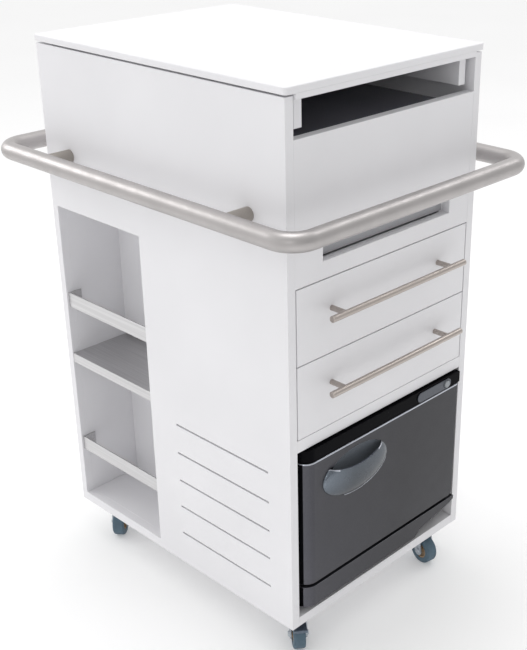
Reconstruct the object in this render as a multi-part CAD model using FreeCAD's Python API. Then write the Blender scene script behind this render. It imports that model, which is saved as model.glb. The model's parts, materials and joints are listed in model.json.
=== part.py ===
import FreeCAD, Part
import math
import os
from FreeCAD import Matrix, Vector

# Rolling salon trolley: a laminate cabinet on four casters, with a sliding top, two drawers,
# a pull-out work shelf, a bottle niche, a push rail all round and a towel warmer in its bay.
# Millimetres. Origin on the floor under the cabinet's centre. +X right, +Y back, +Z up.

# --- cabinet ---
WIDTH = 500.0
DEPTH = 660.0
CABINET_BOTTOM = 85.0
BOARD = 18.0
BACK_BOARD = 16.0
BOTTOM_BOARD = 20.0
BAY_TOP = 461.0
BAY_ROOF_TOP = 485.0
DRAWER_SPLIT = 627.0
DRAWERS_TOP = 769.0
NICHE_TOP = 772.0
WELL_FLOOR = 995.0
FRONT_PANEL_TOP = 1020.0
SIDE_TOP = 1089.0
TOP_UNDERSIDE = 1093.0
TOP_THICKNESS = 12.0
TOP_OVERHANG_SIDE = 2.0
TOP_OVERHANG_END = 4.0

# --- openings in the boards ---
NICHE_FRONT = 57.0
NICHE_DEPTH = 139.0
VENT_LEVELS = (157.0, 220.0, 281.0, 343.0, 406.0)
VENT_Y = (-273.0, -19.0)
VENT_HEIGHT = 4.0
SLOT_X = (-166.0, 175.0)
SLOT_Z = (802.0, 832.0)
CABLE_HOLE = Vector(150.0, 0.0, 160.0)
CABLE_HOLE_RADIUS = 20.0

# --- runners, drawers, shelf ---
SIDE_GAP = 12.7
SHEET = 1.2
RUNNER_DEPTH = 10.5
RUNNER_PLAY = 0.4
DRAWER_RUNNER_HEIGHT = 35.0
TOP_RUNNER_HEIGHT = 45.0
DRAWER_GAP = 1.0
DRAWER_SIDE_GAP = 2.5
DRAWER_BOARD = 12.0
DRAWER_BOX_HEIGHT = 100.0
DRAWER_BACK_Y = 23.0
PULL_RADIUS = 6.0
PULL_LENGTH = 364.0
PULL_POST_X = 145.0
PULL_STANDOFF = 35.0
PULL_RISE = 14.0
SHELF_THICKNESS = 18.0
SHELF_Z = 804.0

# --- push rail ---
RAIL_RADIUS = 16.85
RAIL_WALL = 2.0
RAIL_Z = 885.0
RAIL_SIDE_OFFSET = 57.0
RAIL_END_OFFSET = 70.7
RAIL_CORNER = 42.0
POST_RADIUS = 13.0
POST_Y = (-242.0, 254.0)
STUD_RADIUS = 4.0

# --- niche fittings ---
NICHE_SHELF_TOP = 448.0
NICHE_LIP = 20.0
STEEL_SHEET = 1.5
GUARD_THICKNESS = 3.0
GUARD_TAB = 30.0
GUARDS_Z = ((216.0, 246.0), (554.0, 585.0))
SCREW_RADIUS = 2.0

# --- towel warmer ---
WARMER_HALF = 225.0
SLAB_LEFT = -221.0
WARMER_FRONT = -338.0
WARMER_FACE = -307.0
WARMER_BACK = 15.0
WARMER_Z = (135.0, 455.0)
WARMER_SHEET = 2.0
CHAMBER_HALF = 205.0
CHAMBER_BACK = -10.0
CHAMBER_Z = (175.0, 429.0)
BAND_Z = (119.0, 163.0)
BAND_STEP = ((98.0, 118.0), (112.0, 131.0), (209.0, 149.0), (226.0, 155.0))
FASCIA_Z = (434.0, 457.0)
CORNER_ROUND = 26.0
DOOR_RIGHT = 220.0
DOOR_BACK = -310.0
DOOR_Z = (169.0, 431.0)
DOOR_SKIN = 4.0
DOOR_CORNER_CUT = 9.0
DOOR_AXIS = Vector(215.0, -325.0, 0.0)
HINGE_RADIUS = 3.0
HANDLE_CENTRE = Vector(-88.0, WARMER_FRONT, 373.0)
HANDLE_HALF = Vector(88.0, 16.0, 47.0)
HANDLE_HOLLOW = Vector(80.0, 12.5, 40.0)
HANDLE_LIP_RADIUS = 211.0
HANDLE_LIP_Z = 388.0
DISH_CENTRE = Vector(-83.0, WARMER_FRONT, 384.0)
DISH_HALF = Vector(73.0, 11.0, 34.0)
DISH_BACKING = ((-165.0, 0.0), (-334.0, -322.0), (343.0, 423.0))
PLATE_CENTRE = Vector(142.0, 0.0, 445.5)
PLATE_LENGTH = 104.0
PLATE_HEIGHT = 20.0
SWITCH_X = 180.0
SWITCH_RADIUS = 7.2
SWITCH_HOLE = 8.2
SWITCH_AXIS_Y = -335.5

HEATER_Y = (-200.0, -60.0)
HEATER_BEND = 70.0
RACK_RISE = 16.0

# --- casters ---
CASTER_X = 186.0
CASTER_Y = 276.0
WHEEL_RADIUS = 30.0
WHEEL_WIDTH = 24.0
HUB_RADIUS = 18.0
TRAIL = 23.0
AXLE_RADIUS = 4.0
KINGPIN_RADIUS = 5.0
RUNNING_FIT = 0.05
CASTERS = {
    "front_left": (-1, -1, -128.0),
    "front_right": (1, -1, -100.0),
    "rear_left": (-1, 1, -142.0),
    "rear_right": (1, 1, -131.0),
}
BRAKED_CASTERS = ("front_left", "rear_right")

LEFT = -WIDTH / 2
RIGHT = WIDTH / 2
FRONT = -DEPTH / 2
BACK = DEPTH / 2
INNER = RIGHT - BOARD
BACK_FACE = BACK - BACK_BOARD
BAY_FLOOR = CABINET_BOTTOM + BOTTOM_BOARD
DIVIDER_FRONT = NICHE_FRONT - BOARD
PANEL_BACK = FRONT + BOARD
DRAWER_SIDE = INNER - SIDE_GAP
MIDDLE_TOP = NICHE_TOP + BOARD
NICHE_INNER = LEFT + NICHE_DEPTH

ALONG_X = Vector(1, 0, 0)
ALONG_Y = Vector(0, 1, 0)
UP = Vector(0, 0, 1)


def block(x, y, z):
    """Box between two values on each axis."""
    size = [high - low for low, high in (x, y, z)]
    return Part.makeBox(size[0], size[1], size[2], Vector(x[0], y[0], z[0]))


def rod(radius, start, direction, length):
    return Part.makeCylinder(radius, length, start, direction)


def fuse(shapes):
    joined = shapes[0].multiFuse(shapes[1:]) if len(shapes) > 1 else shapes[0]
    return joined.removeSplitter()


def group(shapes):
    return Part.makeCompound(shapes)


def mirror_x(shape):
    return shape.mirror(Vector(0, 0, 0), ALONG_X)


def both_sides(shape):
    return [shape, mirror_x(shape)]


def vertical_edges(shape, corners):
    """Edges parallel to Z that stand at one of the given (x, y) corners."""
    found = []
    for edge in shape.Edges:
        ends = [vertex.Point for vertex in edge.Vertexes]
        if len(ends) != 2:
            continue
        upright = math.hypot(ends[0].x - ends[1].x, ends[0].y - ends[1].y) < 1e-6
        near = any(math.hypot(ends[0].x - x, ends[0].y - y) < 1e-6 for x, y in corners)
        if upright and near:
            found.append(edge)
    return found


def edges_at_height(shape, z):
    return [edge for edge in shape.Edges
            if all(abs(vertex.Point.z - z) < 1e-6 for vertex in edge.Vertexes)]


# ---------------------------------------------------------------- cabinet boards

def side_panel():
    panel = block((LEFT, -INNER), (FRONT, BACK), (CABINET_BOTTOM, SIDE_TOP))
    for y in POST_Y:
        panel = panel.cut(rod(STUD_RADIUS + 0.1, Vector(LEFT - 1, y, RAIL_Z), ALONG_X, BOARD + 2))
    return panel


def left_side_panel():
    panel = side_panel()
    panel = panel.cut(block((LEFT - 1, -INNER + 1), (NICHE_FRONT, BACK_FACE), (BAY_FLOOR, NICHE_TOP)))
    for z in VENT_LEVELS:
        vent = block((LEFT - 1, -INNER + 1), VENT_Y, (z - VENT_HEIGHT / 2, z + VENT_HEIGHT / 2))
        panel = panel.cut(vent)
    return panel


def guard_screw_points():
    """Screw centres of the guard bars, as (y of the wood face, direction into the wood, z)."""
    points = []
    for low, high in GUARDS_Z:
        points.append((NICHE_FRONT, -1, (low + high) / 2))
        points.append((BACK_FACE, 1, (low + high) / 2))
    return points


GUARD_X = LEFT + 4.0
GUARD_SCREW_X = GUARD_X + 20.0
SCREW_DEPTH = 12.0


def screw_holes(into_back):
    holes = []
    for y, direction, z in guard_screw_points():
        if (direction > 0) == into_back:
            start = Vector(GUARD_SCREW_X, y, z)
            holes.append(rod(SCREW_RADIUS + 0.05, start, ALONG_Y * direction, SCREW_DEPTH + 0.5))
    return holes


def cable_hole(y, thickness):
    start = Vector(CABLE_HOLE.x, y - 1, CABLE_HOLE.z)
    return rod(CABLE_HOLE_RADIUS, start, ALONG_Y, thickness + 2)


def back_panel():
    panel = block((-INNER, INNER), (BACK_FACE, BACK), (CABINET_BOTTOM, SIDE_TOP))
    return panel.cut([cable_hole(BACK_FACE, BACK_BOARD)] + screw_holes(True))


def cross_divider():
    board = block((-INNER, INNER), (DIVIDER_FRONT, NICHE_FRONT), (BAY_FLOOR, NICHE_TOP))
    return board.cut([cable_hole(DIVIDER_FRONT, BOARD)] + screw_holes(False))


def upper_front_panel():
    panel = block((-INNER, INNER), (FRONT, PANEL_BACK), (DRAWERS_TOP + DRAWER_GAP, FRONT_PANEL_TOP))
    return panel.cut(block(SLOT_X, (FRONT - 1, PANEL_BACK + 1), SLOT_Z))


# ---------------------------------------------------------------- push rail

def rail_ring(radius):
    """Circle face of the tube on the front run, ready to sweep along X."""
    centre = Vector(0, FRONT - RAIL_END_OFFSET, RAIL_Z)
    return Part.Face(Part.Wire(Part.makeCircle(radius, centre, ALONG_X)))


def rail_loop(radius):
    half_x = RIGHT + RAIL_SIDE_OFFSET
    half_y = BACK + RAIL_END_OFFSET
    run_x = half_x - RAIL_CORNER
    run_y = half_y - RAIL_CORNER
    pieces = []
    for side in (-1, 1):
        pieces.append(rod(radius, Vector(-run_x, side * half_y, RAIL_Z), ALONG_X, 2 * run_x))
        pieces.append(rod(radius, Vector(side * half_x, -run_y, RAIL_Z), ALONG_Y, 2 * run_y))
    for side_x in (-1, 1):
        for side_y in (-1, 1):
            ring = rail_ring(radius)
            ring.translate(Vector(side_x * run_x, 0, 0))
            if side_y > 0:
                ring.translate(Vector(0, 2 * half_y, 0))
            pivot = Vector(side_x * run_x, side_y * run_y, RAIL_Z)
            turn = -90 * side_x * side_y
            pieces.append(ring.revolve(pivot, UP, turn))
    return fuse(pieces)


def handrail():
    return rail_loop(RAIL_RADIUS).cut(rail_loop(RAIL_RADIUS - RAIL_WALL))


def rail_posts():
    posts = []
    for y in POST_Y:
        foot = Vector(LEFT, y, RAIL_Z)
        stem = rod(POST_RADIUS, foot, -ALONG_X, RAIL_SIDE_OFFSET)
        tube_start = Vector(LEFT - RAIL_SIDE_OFFSET, y - 30, RAIL_Z)
        stem = stem.cut(rod(RAIL_RADIUS, tube_start, ALONG_Y, 60))
        stud = rod(STUD_RADIUS, foot, ALONG_X, BOARD + 6)
        nut = rod(POST_RADIUS / 2, foot + ALONG_X * BOARD, ALONG_X, 5)
        posts += both_sides(fuse([stem, stud, nut]))
    return group(posts)


# ---------------------------------------------------------------- niche fittings

def niche_shelf():
    edge = LEFT + 1.0
    y = (NICHE_FRONT + 0.3, BACK_FACE - 0.3)
    tread = block((edge, NICHE_INNER), y, (NICHE_SHELF_TOP - STEEL_SHEET, NICHE_SHELF_TOP))
    lip = block((edge, edge + STEEL_SHEET), y, (NICHE_SHELF_TOP - NICHE_LIP, NICHE_SHELF_TOP))
    hem = block((edge, edge + 8), y, (NICHE_SHELF_TOP - NICHE_LIP, NICHE_SHELF_TOP - NICHE_LIP + STEEL_SHEET))
    upstand = block((NICHE_INNER - STEEL_SHEET, NICHE_INNER), y, (NICHE_SHELF_TOP - STEEL_SHEET,
                                                                 NICHE_SHELF_TOP + 15))
    return fuse([tread, lip, hem, upstand])


def guard_bars():
    bars = []
    for z in GUARDS_Z:
        strip = block((GUARD_X, GUARD_X + GUARD_THICKNESS), (NICHE_FRONT, BACK_FACE), z)
        front_tab = block((GUARD_X, GUARD_X + GUARD_TAB), (NICHE_FRONT, NICHE_FRONT + GUARD_THICKNESS), z)
        back_tab = block((GUARD_X, GUARD_X + GUARD_TAB), (BACK_FACE - GUARD_THICKNESS, BACK_FACE), z)
        bar = fuse([strip, front_tab, back_tab])
        middle = (z[0] + z[1]) / 2
        hole_start = Vector(GUARD_SCREW_X, NICHE_FRONT - 1, middle)
        bar = bar.cut(rod(SCREW_RADIUS + 0.05, hole_start, ALONG_Y, BACK_FACE - NICHE_FRONT + 2))
        bars.append(bar)
    return group(bars)


def guard_screws():
    screws = []
    for y, direction, z in guard_screw_points():
        inward = ALONG_Y * direction
        seat = Vector(GUARD_SCREW_X, y - direction * GUARD_THICKNESS, z)
        shank = rod(SCREW_RADIUS, seat, inward, GUARD_THICKNESS + SCREW_DEPTH)
        head = Part.makeCone(4.2, 2.4, 2.2, seat, inward * -1)
        screws.append(fuse([shank, head]))
    return group(screws)


# ---------------------------------------------------------------- runners

def outer_channel(y, centre_z, height):
    """Fixed runner channel on the left panel, open towards the middle."""
    low = centre_z - height / 2
    high = centre_z + height / 2
    web = block((-INNER, -INNER + SHEET), y, (low, high))
    bottom = block((-INNER, -INNER + RUNNER_DEPTH), y, (low, low + SHEET))
    top = block((-INNER, -INNER + RUNNER_DEPTH), y, (high - SHEET, high))
    return fuse([web, bottom, top])


def inner_channel(y, centre_z, height):
    """Sliding runner channel on the moving box, nested in the fixed one."""
    low = centre_z - height / 2 + SHEET + RUNNER_PLAY
    high = centre_z + height / 2 - SHEET - RUNNER_PLAY
    reach = -INNER + SHEET + RUNNER_PLAY
    web = block((-DRAWER_SIDE - SHEET, -DRAWER_SIDE), y, (low, high))
    bottom = block((reach, -DRAWER_SIDE), y, (low, low + SHEET))
    top = block((reach, -DRAWER_SIDE), y, (high - SHEET, high))
    return fuse([web, bottom, top])


DRAWER_RUNNER_Y = (PANEL_BACK + 2, PANEL_BACK + 340)
DRAWER_SLIDE_Y = (PANEL_BACK + 2, PANEL_BACK + 330)
TOP_RUNNER_Y = (-290.0, 290.0)
TOP_CLEAT_HEIGHT = 60.0
TOP_CLEAT_Y = (-318.0, 282.0)
TOP_RUNNER_Z = TOP_UNDERSIDE - TOP_CLEAT_HEIGHT / 2
DRAWER_LEVELS = {"lower": (BAY_ROOF_TOP, DRAWER_SPLIT), "upper": (DRAWER_SPLIT, DRAWERS_TOP)}


def drawer_centre(name):
    low, high = DRAWER_LEVELS[name]
    return (low + high) / 2


def runner_channels():
    channels = both_sides(outer_channel(TOP_RUNNER_Y, TOP_RUNNER_Z, TOP_RUNNER_HEIGHT))
    for name in DRAWER_LEVELS:
        channels += both_sides(outer_channel(DRAWER_RUNNER_Y, drawer_centre(name), DRAWER_RUNNER_HEIGHT))
    return group(channels)


# ---------------------------------------------------------------- sliding top

def top_board():
    x = (LEFT - TOP_OVERHANG_SIDE, RIGHT + TOP_OVERHANG_SIDE)
    y = (FRONT - TOP_OVERHANG_END, BACK + TOP_OVERHANG_END)
    slab = block(x, y, (TOP_UNDERSIDE, TOP_UNDERSIDE + TOP_THICKNESS))
    corners = [(a, b) for a in x for b in y]
    slab = slab.makeFillet(6.0, vertical_edges(slab, corners))
    return slab.makeFillet(2.0, edges_at_height(slab, TOP_UNDERSIDE + TOP_THICKNESS))


def top_frame():
    batten_y = (FRONT - TOP_OVERHANG_END, TOP_CLEAT_Y[0])
    batten = block((-INNER + 2, INNER - 2), batten_y, (TOP_UNDERSIDE - 10, TOP_UNDERSIDE))
    cleat = block((-DRAWER_SIDE, -DRAWER_SIDE + BOARD), TOP_CLEAT_Y,
                  (TOP_UNDERSIDE - TOP_CLEAT_HEIGHT, TOP_UNDERSIDE))
    tie_half = DRAWER_SIDE - BOARD
    tie = block((-tie_half, tie_half), (TOP_CLEAT_Y[1] - BOARD, TOP_CLEAT_Y[1]),
                (TOP_UNDERSIDE - 40, TOP_UNDERSIDE))
    return group([batten, tie] + both_sides(cleat))


def top_slides():
    y = (TOP_RUNNER_Y[0], TOP_CLEAT_Y[1] - 2)
    return group(both_sides(inner_channel(y, TOP_RUNNER_Z, TOP_RUNNER_HEIGHT)))


# ---------------------------------------------------------------- drawers and work shelf

def drawer_front(name):
    low, high = DRAWER_LEVELS[name]
    half = INNER - DRAWER_SIDE_GAP
    return block((-half, half), (FRONT, PANEL_BACK), (low + DRAWER_GAP, high - DRAWER_GAP))


def drawer_box(name):
    low = drawer_centre(name) - DRAWER_BOX_HEIGHT / 2
    z = (low, low + DRAWER_BOX_HEIGHT)
    y = (PANEL_BACK, DRAWER_BACK_Y)
    inner = DRAWER_SIDE - DRAWER_BOARD
    side = block((-DRAWER_SIDE, -inner), y, z)
    front = block((-inner, inner), (y[0], y[0] + DRAWER_BOARD), z)
    back = block((-inner, inner), (y[1] - DRAWER_BOARD, y[1]), z)
    floor = block((-inner, inner), (y[0] + DRAWER_BOARD, y[1] - DRAWER_BOARD), (low + 4, low + 10))
    return group(both_sides(side) + [front, back, floor])


def drawer_slides(name):
    return group(both_sides(inner_channel(DRAWER_SLIDE_Y, drawer_centre(name), DRAWER_RUNNER_HEIGHT)))


def drawer_pull(name):
    z = drawer_centre(name) + PULL_RISE
    y = FRONT - PULL_STANDOFF
    bar = rod(PULL_RADIUS, Vector(-PULL_LENGTH / 2, y, z), ALONG_X, PULL_LENGTH)
    bar = bar.makeChamfer(1.0, [edge for edge in bar.Edges if len(edge.Vertexes) == 1])
    posts = [rod(PULL_RADIUS - 1, Vector(x, y, z), ALONG_Y, PULL_STANDOFF)
             for x in (-PULL_POST_X, PULL_POST_X)]
    return fuse([bar] + posts)


SHELF_X = (SLOT_X[0] + 2, SLOT_X[1] - 2)
SHELF_Y = (PANEL_BACK + 0.4, 30.0)
SHELF_PLAY = 0.4
GROOVE = 6.0
GUIDE_WIDTH = 28.0


def work_shelf():
    board = block(SHELF_X, SHELF_Y, (SHELF_Z, SHELF_Z + SHELF_THICKNESS))
    finger_groove = block((SHELF_X[0] + 60, SHELF_X[1] - 60), (SHELF_Y[0] + 8, SHELF_Y[0] + 24),
                          (SHELF_Z + 10, SHELF_Z + SHELF_THICKNESS + 1))
    return board.cut(finger_groove)


def shelf_guides():
    guides = []
    groove_z = (SHELF_Z - SHELF_PLAY, SHELF_Z + SHELF_THICKNESS + SHELF_PLAY)
    y = (PANEL_BACK, 30.0)
    for edge, side in ((SHELF_X[0], -1), (SHELF_X[1], 1)):
        near = edge - side * GROOVE
        far = near + side * GUIDE_WIDTH
        body = block(tuple(sorted((near, far))), y, (MIDDLE_TOP, SHELF_Z + 26))
        groove = block(tuple(sorted((near - side, edge + side * SHELF_PLAY))), (y[0] - 1, y[1] + 1), groove_z)
        guides.append(body.cut(groove))
    return group(guides)


# ---------------------------------------------------------------- towel warmer

def rounded_slab(right, back, z):
    """Front slab of the warmer with a large round on its left front corner."""
    slab = block((SLAB_LEFT, right), (WARMER_FRONT, back), z)
    return slab.makeFillet(CORNER_ROUND, vertical_edges(slab, [(SLAB_LEFT, WARMER_FRONT)]))


def hinge_pin(z, length):
    return rod(HINGE_RADIUS, DOOR_AXIS + UP * z, UP, length)


PIN_SPANS = ((155.0, 179.0), (421.0, 442.0))


def warmer_hinge_pins():
    return group([hinge_pin(low, high - low) for low, high in PIN_SPANS])


def warmer_casing():
    outer = block((-WARMER_HALF, WARMER_HALF), (WARMER_FACE, WARMER_BACK), WARMER_Z)
    half = WARMER_HALF - WARMER_SHEET
    hollow = block((-half, half), (WARMER_FACE + WARMER_SHEET, WARMER_BACK - WARMER_SHEET),
                   (WARMER_Z[0] + WARMER_SHEET, WARMER_Z[1] - WARMER_SHEET))
    window = block((-CHAMBER_HALF, CHAMBER_HALF), (WARMER_FACE - 1, WARMER_FACE + 3), CHAMBER_Z)
    x, z = inlet_window()
    inlet = block(x, (WARMER_BACK - 3, WARMER_BACK + 1), z)
    return outer.cut([hollow, window, inlet])


def inlet_window():
    x = (CABLE_HOLE.x - 24, CABLE_HOLE.x + 24)
    z = (CABLE_HOLE.z - 15, CABLE_HOLE.z + 15)
    return x, z


def power_inlet():
    x, z = inlet_window()
    body = block(x, (WARMER_BACK - 14, WARMER_BACK), z)
    rim = block((x[0] - 3, x[1] + 3), (WARMER_BACK, WARMER_BACK + 3), (z[0] - 3, z[1] + 3))
    recess = block((x[0] + 10, x[1] - 10), (WARMER_BACK - 10, WARMER_BACK + 4), (z[0] + 6, z[1] - 6))
    shell = fuse([body, rim]).cut(recess)
    pins = [block((CABLE_HOLE.x + dx - 1, CABLE_HOLE.x + dx + 1), (WARMER_BACK - 10, WARMER_BACK - 1),
                  (CABLE_HOLE.z - 2.5, CABLE_HOLE.z + 2.5)) for dx in (-7, 0, 7)]
    return fuse([shell] + pins)


def warmer_chamber():
    outer = block((-CHAMBER_HALF, CHAMBER_HALF), (WARMER_FACE, CHAMBER_BACK), CHAMBER_Z)
    half = CHAMBER_HALF - WARMER_SHEET
    hollow = block((-half, half), (WARMER_FACE - 1, CHAMBER_BACK - WARMER_SHEET),
                   (CHAMBER_Z[0] + WARMER_SHEET, CHAMBER_Z[1] - WARMER_SHEET))
    ceiling = CHAMBER_Z[1] - WARMER_SHEET
    holders = [block(x, (-52, -28), (ceiling - 28, ceiling)) for x in ((-118, -110), (110, 118))]
    return fuse([outer.cut(hollow)] + holders)


def uv_lamp():
    return rod(8.0, Vector(-110, -40, CHAMBER_Z[1] - 18), ALONG_X, 220)


def heater_element():
    """Hairpin tube under the chamber floor."""
    z = CHAMBER_Z[0] - 8
    legs = [rod(4.0, Vector(x, HEATER_Y[0], z), ALONG_Y, HEATER_Y[1] - HEATER_Y[0])
            for x in (-HEATER_BEND, HEATER_BEND)]
    front_half = block((-HEATER_BEND - 10, HEATER_BEND + 10), (HEATER_Y[0] - HEATER_BEND - 10, HEATER_Y[0]),
                       (z - 6, z + 6))
    bend = Part.makeTorus(HEATER_BEND, 4.0, Vector(0, HEATER_Y[0], z), UP).common(front_half)
    return fuse(legs + [bend])


def towel_rack():
    """Wire grid that stands just clear of the chamber floor."""
    z = CHAMBER_Z[0] + RACK_RISE
    y = (-300.0, -60.0)
    wires = [rod(2.5, Vector(x, y[0], z), ALONG_Y, y[1] - y[0]) for x in (-180, 0, 180)]
    count = 11
    for i in range(count):
        level = y[0] + 4 + i * (y[1] - y[0] - 8) / (count - 1)
        wires.append(rod(1.5, Vector(-180, level, z + 1), ALONG_X, 360))
    for x in (-180, 180):
        for level in (y[0] + 4, y[1] - 4):
            foot = Vector(x, level, CHAMBER_Z[0] + WARMER_SHEET)
            wires.append(rod(2.0, foot, UP, RACK_RISE - WARMER_SHEET))
    return fuse(wires)


def warmer_fascia():
    body = rounded_slab(WARMER_HALF, WARMER_FACE, FASCIA_Z)
    pocket = rod(SWITCH_HOLE, Vector(SWITCH_X, WARMER_FRONT - 1, PLATE_CENTRE.z), ALONG_Y, 11)
    socket = hinge_pin(FASCIA_Z[0] - 1, PIN_SPANS[1][1] - FASCIA_Z[0] + 1)
    return body.cut([pocket, socket, switch_trunnion(TRUNNION_RADIUS + RUNNING_FIT, TRUNNION_HALF + 0.3)])


def warmer_base_band():
    """Plinth under the door; its lower edge steps up towards the right end."""
    body = rounded_slab(WARMER_HALF, WARMER_FACE, BAND_Z)
    y = WARMER_FRONT - 1
    outline = [Vector(x, y, z) for x, z in BAND_STEP + ((BAND_STEP[-1][0], BAND_STEP[0][1]),)]
    below = Part.Face(Part.makePolygon(outline + outline[:1])).extrude(ALONG_Y * 40)
    socket = hinge_pin(PIN_SPANS[0][0], BAND_Z[1] - PIN_SPANS[0][0] + 1)
    return body.cut([below, socket])


def warmer_feet():
    feet = []
    for y in (-250.0, -20.0):
        for x in (-190.0, 190.0):
            feet.append(Part.makeCone(8.0, 10.0, WARMER_Z[0] - BAY_FLOOR, Vector(x, y, BAY_FLOOR), UP))
    return group(feet)


def control_plate():
    half = PLATE_LENGTH / 2 - PLATE_HEIGHT / 2
    y = WARMER_FRONT - 2
    middle = block((PLATE_CENTRE.x - half, PLATE_CENTRE.x + half), (y, WARMER_FRONT),
                   (PLATE_CENTRE.z - PLATE_HEIGHT / 2, PLATE_CENTRE.z + PLATE_HEIGHT / 2))
    ends = [rod(PLATE_HEIGHT / 2, Vector(PLATE_CENTRE.x + side * half, y, PLATE_CENTRE.z), ALONG_Y, 2)
            for side in (-1, 1)]
    hole = rod(SWITCH_HOLE, Vector(SWITCH_X, y - 1, PLATE_CENTRE.z), ALONG_Y, 4)
    return fuse([middle] + ends).cut(hole)


TRUNNION_RADIUS = 1.0
TRUNNION_HALF = 9.5


def switch_trunnion(radius, half):
    """Upright pivot through the rocker, or its bore in the fascia."""
    return rod(radius, Vector(SWITCH_X, SWITCH_AXIS_Y, PLATE_CENTRE.z - half), UP, 2 * half)


def power_switch():
    start = Vector(SWITCH_X, WARMER_FRONT - 4.5, PLATE_CENTRE.z)
    return fuse([rod(SWITCH_RADIUS, start, ALONG_Y, 10), switch_trunnion(TRUNNION_RADIUS, TRUNNION_HALF)])


DOOR_POCKET_X = (-214.0, 208.0)
DOOR_POCKET_Z = (DOOR_Z[0] + 8, DOOR_Z[1] - 8)


def ellipsoid(centre, half):
    stretch = Matrix()
    stretch.scale(half)
    ball = Part.makeSphere(1.0).transformGeometry(stretch)
    ball.translate(centre)
    return ball


def warmer_door():
    """Hollow shell with a finger dish behind its handle."""
    shell = rounded_slab(DOOR_RIGHT, DOOR_BACK, DOOR_Z)
    low_right = [edge for edge in edges_at_height(shell, DOOR_Z[0])
                 if all(abs(vertex.Point.x - DOOR_RIGHT) < 1e-6 for vertex in edge.Vertexes)]
    shell = shell.makeChamfer(DOOR_CORNER_CUT, low_right)
    pocket = block((DOOR_POCKET_X[0] + CORNER_ROUND - 10, DOOR_POCKET_X[1]),
                   (WARMER_FRONT + DOOR_SKIN, DOOR_BACK + 1), DOOR_POCKET_Z).cut(block(*DISH_BACKING))
    sockets = []
    for low, high in ((DOOR_Z[0] - 1, PIN_SPANS[0][1] + 0.5), (PIN_SPANS[1][0] - 0.5, DOOR_Z[1] + 1)):
        sockets.append(rod(HINGE_RADIUS + RUNNING_FIT, DOOR_AXIS + UP * low, UP, high - low))
    return shell.cut([pocket, ellipsoid(DISH_CENTRE, DISH_HALF)] + sockets)


def door_liner():
    x = (DOOR_POCKET_X[0] + CORNER_ROUND - 10, DOOR_POCKET_X[1])
    sheet = block(x, (DOOR_BACK - 3, DOOR_BACK - 1), DOOR_POCKET_Z)
    panel = block((x[0] + 14, x[1] - 14), (DOOR_BACK - 9, DOOR_BACK - 3),
                  (DOOR_POCKET_Z[0] + 14, DOOR_POCKET_Z[1] - 14))
    hollow = block((x[0] + 16, x[1] - 16), (DOOR_BACK - 7, DOOR_BACK),
                   (DOOR_POCKET_Z[0] + 16, DOOR_POCKET_Z[1] - 16))
    return fuse([sheet, panel]).cut(hollow)


def door_seal():
    y = (DOOR_BACK, WARMER_FACE - 0.4)
    outer = block((-CHAMBER_HALF + 1, CHAMBER_HALF + 6), y, (CHAMBER_Z[0] - 5, CHAMBER_Z[1] + 1))
    inner = block((-CHAMBER_HALF + 9, CHAMBER_HALF - 2), (y[0] - 1, y[1] + 1),
                  (CHAMBER_Z[0] + 4, CHAMBER_Z[1] - 8))
    return outer.cut(inner)


def door_handle():
    """Bulging cup over the lower part of the dish, cut to a hollow arc along its lip."""
    cup = ellipsoid(HANDLE_CENTRE, HANDLE_HALF).cut(ellipsoid(HANDLE_CENTRE, HANDLE_HOLLOW))
    lip_axis = Vector(HANDLE_CENTRE.x, WARMER_FRONT - 20, HANDLE_LIP_Z + HANDLE_LIP_RADIUS)
    above = rod(HANDLE_LIP_RADIUS, lip_axis, ALONG_Y, 40)
    behind = block((-190.0, 10.0), (WARMER_FRONT, WARMER_FRONT + 20), (300.0, 440.0))
    return cup.cut([above, behind])


# ---------------------------------------------------------------- casters

CUP_Z = (76.0, 82.0)
CROWN_Z = (69.0, 75.7)
NUT_Z = (63.0, 68.7)
LEG_INNER = 14.0
LEG_SHEET = 3.0
PEDAL_PIVOT = Vector(TRAIL, 0, 65.0)
PEDAL_PIN = 2.5


def place(shape, side_x, side_y, angle):
    """Copy of a caster piece, turned about its king pin and put at its corner."""
    moved = shape.copy()
    moved.rotate(Vector(0, 0, 0), UP, angle)
    moved.translate(Vector(side_x * CASTER_X, side_y * CASTER_Y, 0))
    return moved


def caster_plate():
    plate = block((-32, 32), (-42, 42), (CUP_Z[1], CABINET_BOTTOM))
    plate = plate.makeFillet(6.0, vertical_edges(plate, [(x, y) for x in (-32, 32) for y in (-42, 42)]))
    cup = rod(24.0, Vector(0, 0, CUP_Z[0]), UP, CUP_Z[1] - CUP_Z[0])
    kingpin = rod(KINGPIN_RADIUS, Vector(0, 0, NUT_Z[0]), UP, CUP_Z[1] - NUT_Z[0])
    nut = rod(8.0, Vector(0, 0, NUT_Z[0]), UP, NUT_Z[1] - NUT_Z[0])
    return fuse([plate, cup, kingpin, nut])


def caster_plates():
    solids = []
    for side_x, side_y, angle in CASTERS.values():
        solids.append(place(caster_plate(), side_x, side_y, 0))
        for x in (-24, 24):
            for y in (-34, 34):
                head = Part.makeCone(4.0, 6.0, 3.0, Vector(x, y, CUP_Z[1] - 3.0), UP)
                solids.append(place(head, side_x, side_y, 0))
    return group(solids)


def axle():
    shank = rod(AXLE_RADIUS - 0.02, Vector(TRAIL, -LEG_INNER - LEG_SHEET, WHEEL_RADIUS), ALONG_Y,
                2 * (LEG_INNER + LEG_SHEET))
    heads = []
    for side in (-1, 1):
        start = Vector(TRAIL, side * (LEG_INNER + LEG_SHEET), WHEEL_RADIUS)
        heads.append(Part.makeCone(6.5, 5.0, 3.0, start, ALONG_Y * side))
    return fuse([shank] + heads)


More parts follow.
